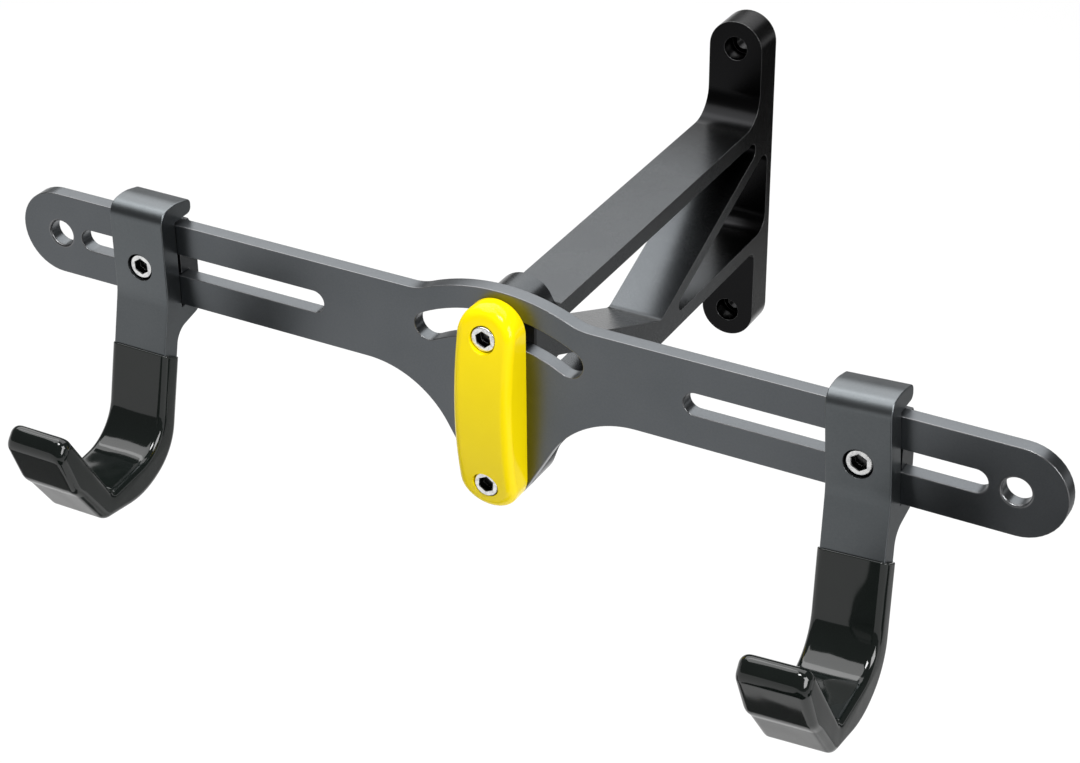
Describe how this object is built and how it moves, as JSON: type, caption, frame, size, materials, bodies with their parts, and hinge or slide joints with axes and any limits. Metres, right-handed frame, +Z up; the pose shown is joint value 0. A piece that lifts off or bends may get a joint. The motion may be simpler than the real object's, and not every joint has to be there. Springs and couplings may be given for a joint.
{
  "type": "bike wall hanger",
  "caption": "Wall-mounted truss bracket carrying a tilting cross bar with two sliding dip-coated hooks that hold a bicycle by its top tube.",
  "frame": {"origin": "on the wall face, midway between the two wall bolts", "axes": "+X along the level cross bar towards the hook on the viewer's right, +Y into the wall, +Z up"},
  "size_m": [0.437, 0.3017, 0.149],
  "materials": {
    "bracket_finish": "dark satin coating on an extruded profile",
    "bar_finish": "satin slate coating, lighter sawn edges",
    "hook_finish": "dark satin coating on an extruded profile",
    "dip_coating": "glossy dipped coating",
    "cover_paint": "glossy yellow paint",
    "screw_steel": "zinc plated",
    "bush_steel": "turned",
    "pad_rubber": "matte",
    "clamp_plate_finish": "dark satin coating"
  },
  "bodies": {
    "bracket": {"wall_bracket": "bracket_finish", "friction_pad": "pad_rubber", "cover_plate": "cover_paint", "tilt_lock_screw": "screw_steel", "pivot_screw": "screw_steel", "slot_bush": "bush_steel", "pivot_bush": "bush_steel"},
    "bar": {"cross_bar": "bar_finish"},
    "left_hook_set": {"left_hook": "hook_finish", "left_hook_coating": "dip_coating", "left_clamp_plate": "clamp_plate_finish", "left_hook_screw": "screw_steel"},
    "right_hook_set": {"right_hook": "hook_finish", "right_hook_coating": "dip_coating", "right_clamp_plate": "clamp_plate_finish", "right_hook_screw": "screw_steel"}
  },
  "joints": [
    {"name": "bar_tilt", "type": "hinge", "parent": "bracket", "child": "bar", "pos_m": [0, -0.2152, -0.03125], "axis": [0, 1, 0], "range_deg": [-28, 28]},
    {"name": "left_hook_slide", "type": "slide", "parent": "bar", "child": "left_hook_set", "axis": [1, 0, 0], "range_m": [-0.0192, 0.0638]},
    {"name": "right_hook_slide", "type": "slide", "parent": "bar", "child": "right_hook_set", "axis": [1, 0, 0], "range_m": [-0.055, 0.028]}
  ]
}
